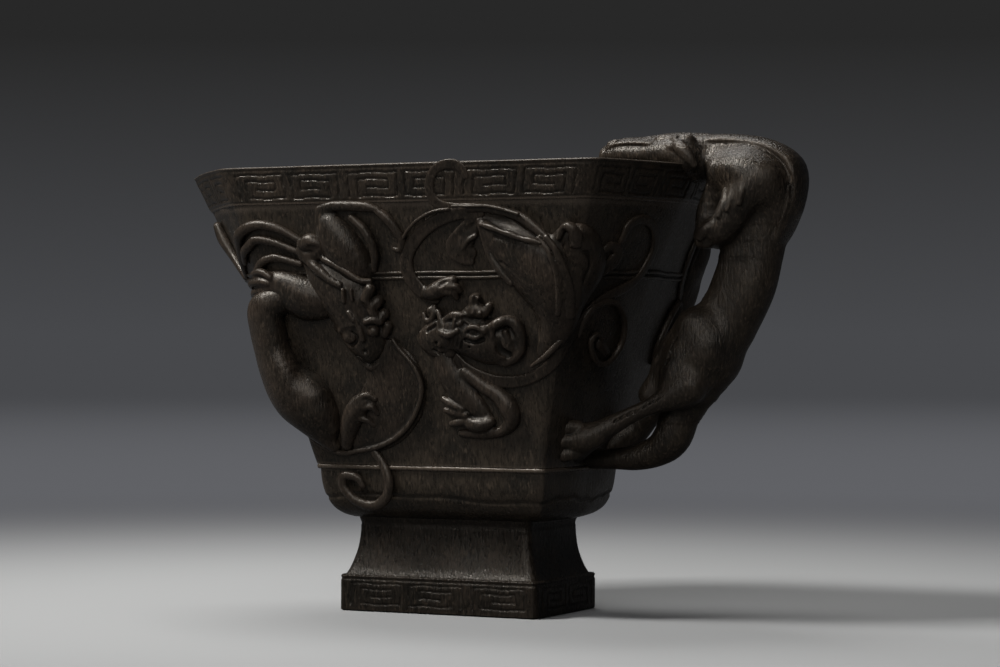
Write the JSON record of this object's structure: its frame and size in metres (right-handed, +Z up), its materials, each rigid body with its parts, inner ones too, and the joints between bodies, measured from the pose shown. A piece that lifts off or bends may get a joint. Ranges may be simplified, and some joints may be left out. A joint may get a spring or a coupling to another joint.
{
  "type": "horn libation cup",
  "caption": "Footed horn drinking cup with a pointed spout, key-fret bands, relief dragons and a dragon-shaped loop handle.",
  "frame": {"origin": "centre of the foot's flat underside, on the plane that the cup stands on", "axes": "+X along the cup from the spout toward the handle, +Z up through the rim, -Y toward the front face"},
  "size_m": [0.156, 0.0756, 0.1074],
  "materials": {
    "horn_wall": "polished dark horn with fine upright fibres",
    "horn_edge": "dark horn, worn and a little paler along its edges",
    "horn_relief": "carved dark horn, glossy on its ridges and dull in its recesses",
    "horn_handle": "carved dark horn, polished by the hand"
  },
  "bodies": {
    "root": {"foot_plinth": "horn_wall", "foot_stem": "horn_wall", "girdle": "horn_wall", "girdle_fillet": "horn_edge", "bowl": "horn_wall", "string_band": "horn_edge", "lip_band": "horn_edge", "handle_head": "horn_handle", "handle_brows": "horn_handle", "handle_neck": "horn_handle", "handle_mane": "horn_handle", "handle_torso": "horn_handle", "handle_foreleg_near": "horn_handle", "handle_foreleg_far": "horn_handle", "handle_haunch": "horn_handle", "handle_hind_leg_near": "horn_handle", "handle_hind_leg_far": "horn_handle", "handle_tail": "horn_handle", "spout_dragon_head": "horn_relief", "spout_dragon_mane": "horn_relief", "spout_dragon_foreleg": "horn_relief", "spout_dragon_body": "horn_relief", "spout_dragon_hind_leg": "horn_relief", "spout_dragon_tail": "horn_relief", "cloud_scroll": "horn_relief", "girdle_curl": "horn_relief", "centre_dragon_head": "horn_relief", "centre_dragon_foreleg": "horn_relief", "centre_dragon_body": "horn_relief", "tail_ribbon": "horn_relief", "ring_strap": "horn_relief", "lower_scroll": "horn_relief", "oval_scroll": "horn_relief", "far_spout_dragon_head": "horn_relief", "far_spout_dragon_mane": "horn_relief", "far_spout_dragon_foreleg": "horn_relief", "far_spout_dragon_body": "horn_relief", "far_spout_dragon_hind_leg": "horn_relief", "far_spout_dragon_tail": "horn_relief", "far_cloud_scroll": "horn_relief", "far_girdle_curl": "horn_relief", "far_centre_dragon_head": "horn_relief", "far_centre_dragon_foreleg": "horn_relief", "far_centre_dragon_body": "horn_relief", "far_tail_ribbon": "horn_relief", "far_ring_strap": "horn_relief", "far_lower_scroll": "horn_relief", "far_oval_scroll": "horn_relief"}
  },
  "joints": []
}
